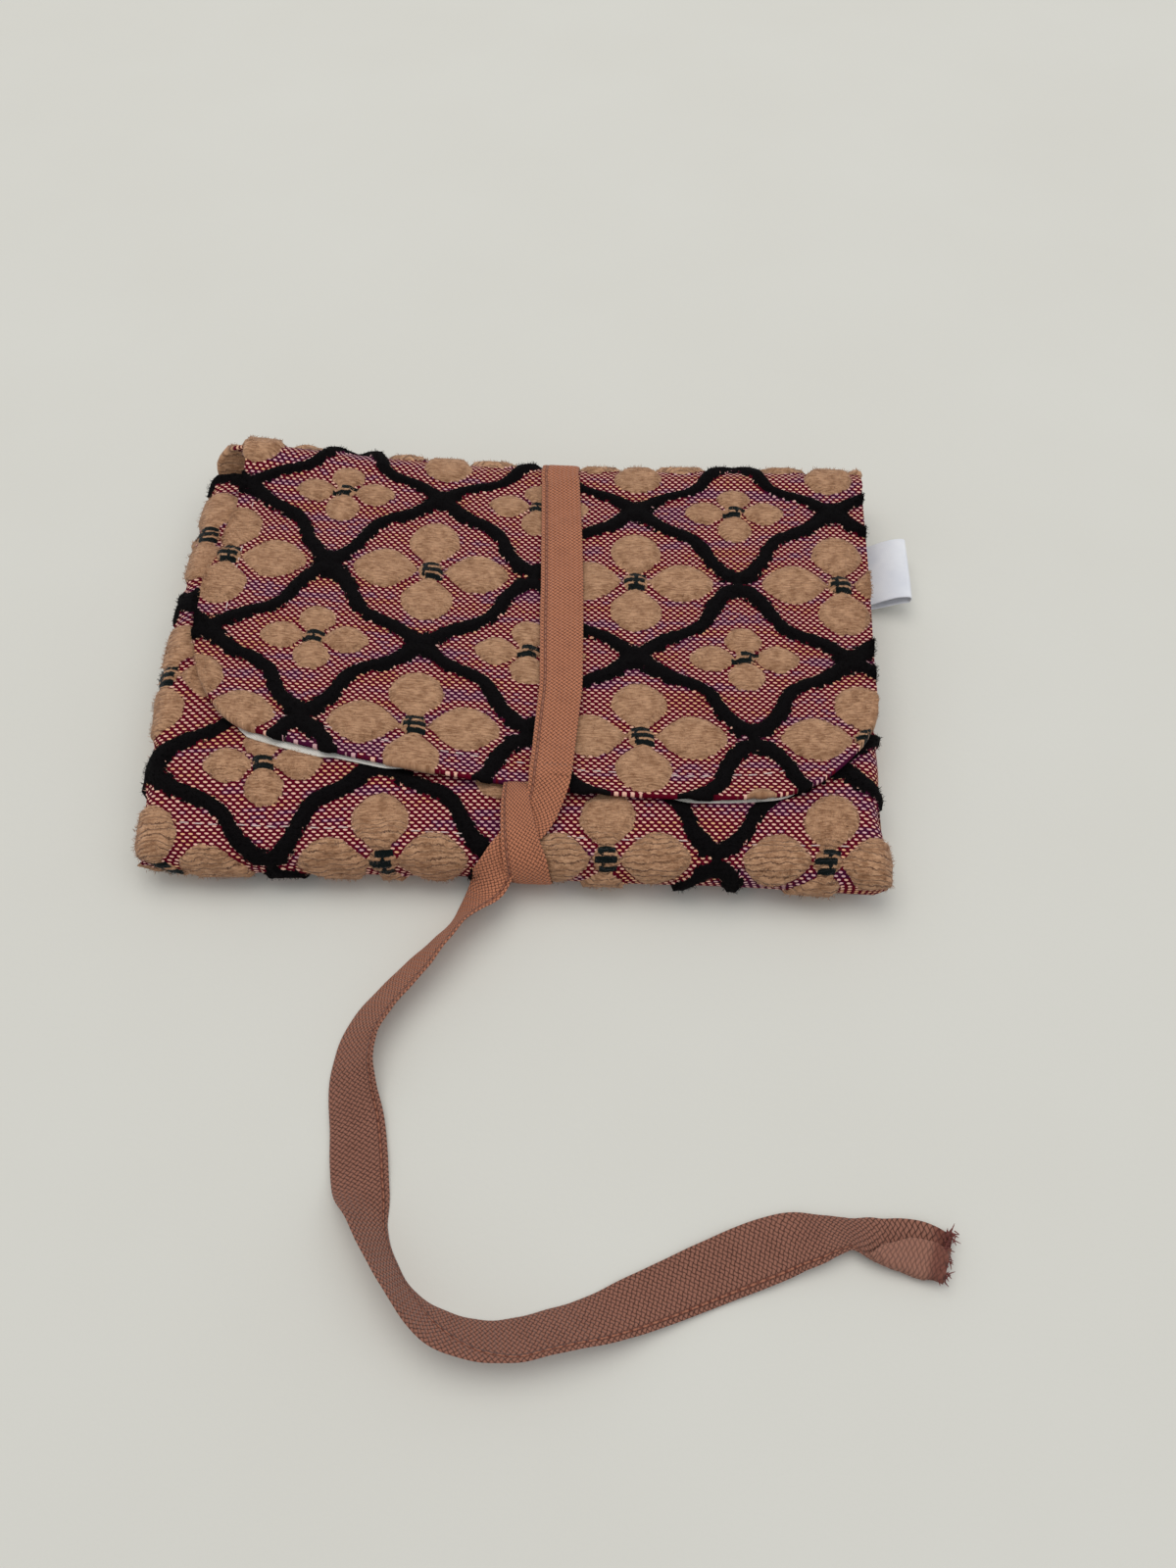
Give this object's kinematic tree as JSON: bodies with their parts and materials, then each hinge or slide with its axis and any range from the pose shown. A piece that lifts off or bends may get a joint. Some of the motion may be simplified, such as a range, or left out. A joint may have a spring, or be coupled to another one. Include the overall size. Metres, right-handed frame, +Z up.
{
  "type": "accordion pouch",
  "caption": "Flat fold-over cloth pouch with a lined accordion of pockets, a curved flap and one long cloth tie that wraps round it and tucks under itself.",
  "frame": {"origin": "On the table under the middle of the closed pouch and its side label, without the tie's tail.", "axes": "+X across the pouch towards the label, +Y towards the rear fold, +Z up from the table"},
  "size_m": [0.176, 0.2169, 0.0153],
  "materials": {
    "patterned_cloth": "brocade-like cloth: burgundy weave with pale dots, black and tan chenille pattern",
    "lining_cloth": "plain weave, off-white",
    "tie_cloth": "soft dusty-pink twill",
    "label_satin": "woven satin, white"
  },
  "bodies": {
    "back": {"back_panel": "patterned_cloth", "back_lining": "lining_cloth", "tie_under": "tie_cloth", "side_label": "label_satin", "left_pleat_back": "lining_cloth", "right_pleat_back": "lining_cloth"},
    "leaf_back": {"pocket_leaf_back": "lining_cloth", "left_pleat_middle": "lining_cloth", "right_pleat_middle": "lining_cloth"},
    "leaf_front": {"pocket_leaf_front": "lining_cloth", "left_pleat_front": "lining_cloth", "right_pleat_front": "lining_cloth"},
    "front": {"front_panel": "patterned_cloth", "front_lining": "lining_cloth"},
    "flap": {"flap_panel": "patterned_cloth", "flap_lining": "lining_cloth", "tie_start": "tie_cloth", "tie_over": "tie_cloth", "tie_tuck": "tie_cloth", "tie_tail": "tie_cloth"}
  },
  "joints": [
    {"name": "flap_hinge", "type": "hinge", "parent": "back", "child": "flap", "pos_m": [0, 0.0616, 0.00765], "axis": [-1, 0, 0], "range_deg": [0, 179], "deforming": ["tie_start"]},
    {"name": "leaf_back_hinge", "type": "hinge", "parent": "back", "child": "leaf_back", "pos_m": [0, -0.0616, 0.0058], "axis": [1, 0, 0], "range_deg": [0, 5], "deforming": ["left_pleat_back", "right_pleat_back"]},
    {"name": "leaf_front_hinge", "type": "hinge", "parent": "leaf_back", "child": "leaf_front", "pos_m": [0, -0.0616, 0.0058], "axis": [1, 0, 0], "range_deg": [0, 5], "deforming": ["left_pleat_middle", "right_pleat_middle"]},
    {"name": "front_hinge", "type": "hinge", "parent": "leaf_front", "child": "front", "pos_m": [0, -0.0616, 0.0058], "axis": [1, 0, 0], "range_deg": [0, 5], "deforming": ["left_pleat_front", "right_pleat_front"]}
  ],
  "couplings": [
    {"joint": "leaf_back_hinge", "follows": "flap_hinge", "ratio": 0.0277},
    {"joint": "leaf_front_hinge", "follows": "flap_hinge", "ratio": 0.0277},
    {"joint": "front_hinge", "follows": "flap_hinge", "ratio": 0.0277}
  ]
}
